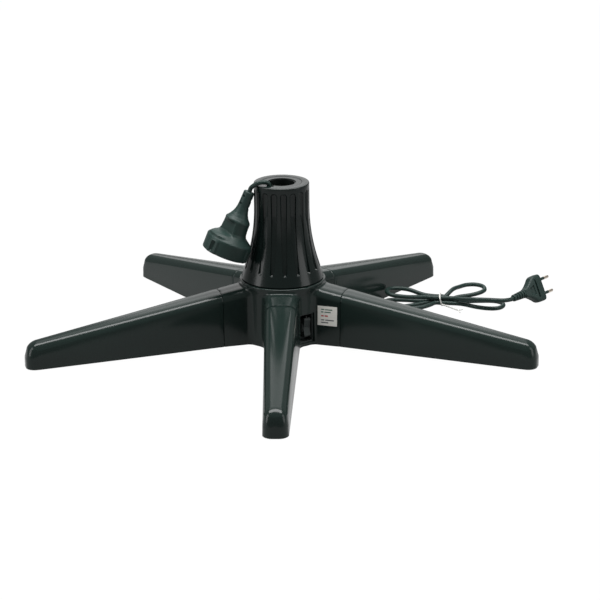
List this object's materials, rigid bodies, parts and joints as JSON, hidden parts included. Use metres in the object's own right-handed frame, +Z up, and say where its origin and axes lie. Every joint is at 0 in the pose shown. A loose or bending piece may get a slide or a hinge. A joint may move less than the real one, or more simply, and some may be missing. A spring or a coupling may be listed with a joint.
{
  "type": "rotating christmas tree stand",
  "caption": "Motorised Christmas tree stand: low legs around a hub, a turning fluted cone with a pole socket, a hanging outlet, a rocker switch and a tied mains lead.",
  "frame": {"origin": "the turning axis at floor level, in the plane of the five foot pads", "axes": "+Z up along the turning axis; the front leg points to -Y; the mains lead leaves to the right and back, towards +X +Y"},
  "size_m": [0.6535, 0.5833, 0.2092],
  "materials": {
    "hub_plastic": "satin, very dark green",
    "cone_plastic": "satin black",
    "switch_plastic": "semi-gloss black",
    "plug_plastic": "moulded dark green",
    "cord": "soft dark green PVC",
    "wire": "insulated cores",
    "rubber": "matt",
    "nylon": "natural nylon",
    "carbon": "pressed carbon",
    "steel": "zinc plated",
    "brass": "plain",
    "label": "matt printed label",
    "tie": "white wire tie"
  },
  "bodies": {
    "base": {"hub_housing": "hub_plastic", "hub_bottom_cover": "hub_plastic", "cover_screws": "steel", "leg_front": "hub_plastic", "leg_right": "hub_plastic", "leg_back_right": "hub_plastic", "leg_back_left": "hub_plastic", "leg_left": "hub_plastic", "leg_screws": "steel", "foot_pads": "rubber", "spindle_bushing": "nylon", "lower_race": "steel", "drive_motor": "steel", "motor_screws": "steel", "brush_holder": "nylon", "brushes": "carbon", "brush_springs": "steel", "terminal_block": "nylon", "hub_wiring": "wire", "switch_bezel": "switch_plastic", "switch_body": "switch_plastic", "switch_screws": "steel", "rating_label": "label", "cord_gland": "cord", "mains_lead": "cord", "mains_hank": "cord", "plug_lead": "cord", "mains_plug": "plug_plastic", "plug_pins": "brass", "cord_tie": "tie"},
    "rotor": {"turntable": "cone_plastic", "pole_tube": "steel", "fluted_cone": "cone_plastic", "cone_cap": "cone_plastic", "cone_screws": "steel", "retaining_ring": "steel", "upper_race": "steel", "drive_gear": "nylon", "slip_drum": "nylon", "slip_rings": "brass", "rotor_wiring": "wire", "outlet_cord": "cord", "outlet_coupler": "plug_plastic", "outlet_contacts": "brass"},
    "ball_ring": {"bearing_balls": "steel", "ball_cage": "nylon"},
    "pinion": {"motor_pinion": "nylon", "motor_shaft": "steel"},
    "rocker": {"switch_rocker": "switch_plastic"}
  },
  "joints": [
    {"name": "rotor_spin", "type": "hinge", "parent": "base", "child": "rotor", "pos_m": [0, 0, 0.09], "axis": [0, 0, 1], "continuous": true},
    {"name": "ball_ring_spin", "type": "hinge", "parent": "base", "child": "ball_ring", "pos_m": [0, 0, 0.088], "axis": [0, 0, 1], "continuous": true},
    {"name": "pinion_spin", "type": "hinge", "parent": "base", "child": "pinion", "pos_m": [-0.02806, 0.00912, 0.033], "axis": [0, 0, 1], "continuous": true},
    {"name": "rocker_tilt", "type": "hinge", "parent": "base", "child": "rocker", "pos_m": [0.02539, -0.03495, 0.0295], "axis": [0.809, 0.5878, 0], "range_deg": [-12, 12]}
  ],
  "couplings": [
    {"joint": "ball_ring_spin", "follows": "rotor_spin", "ratio": 0.5},
    {"joint": "pinion_spin", "follows": "rotor_spin", "ratio": -4.3636}
  ]
}
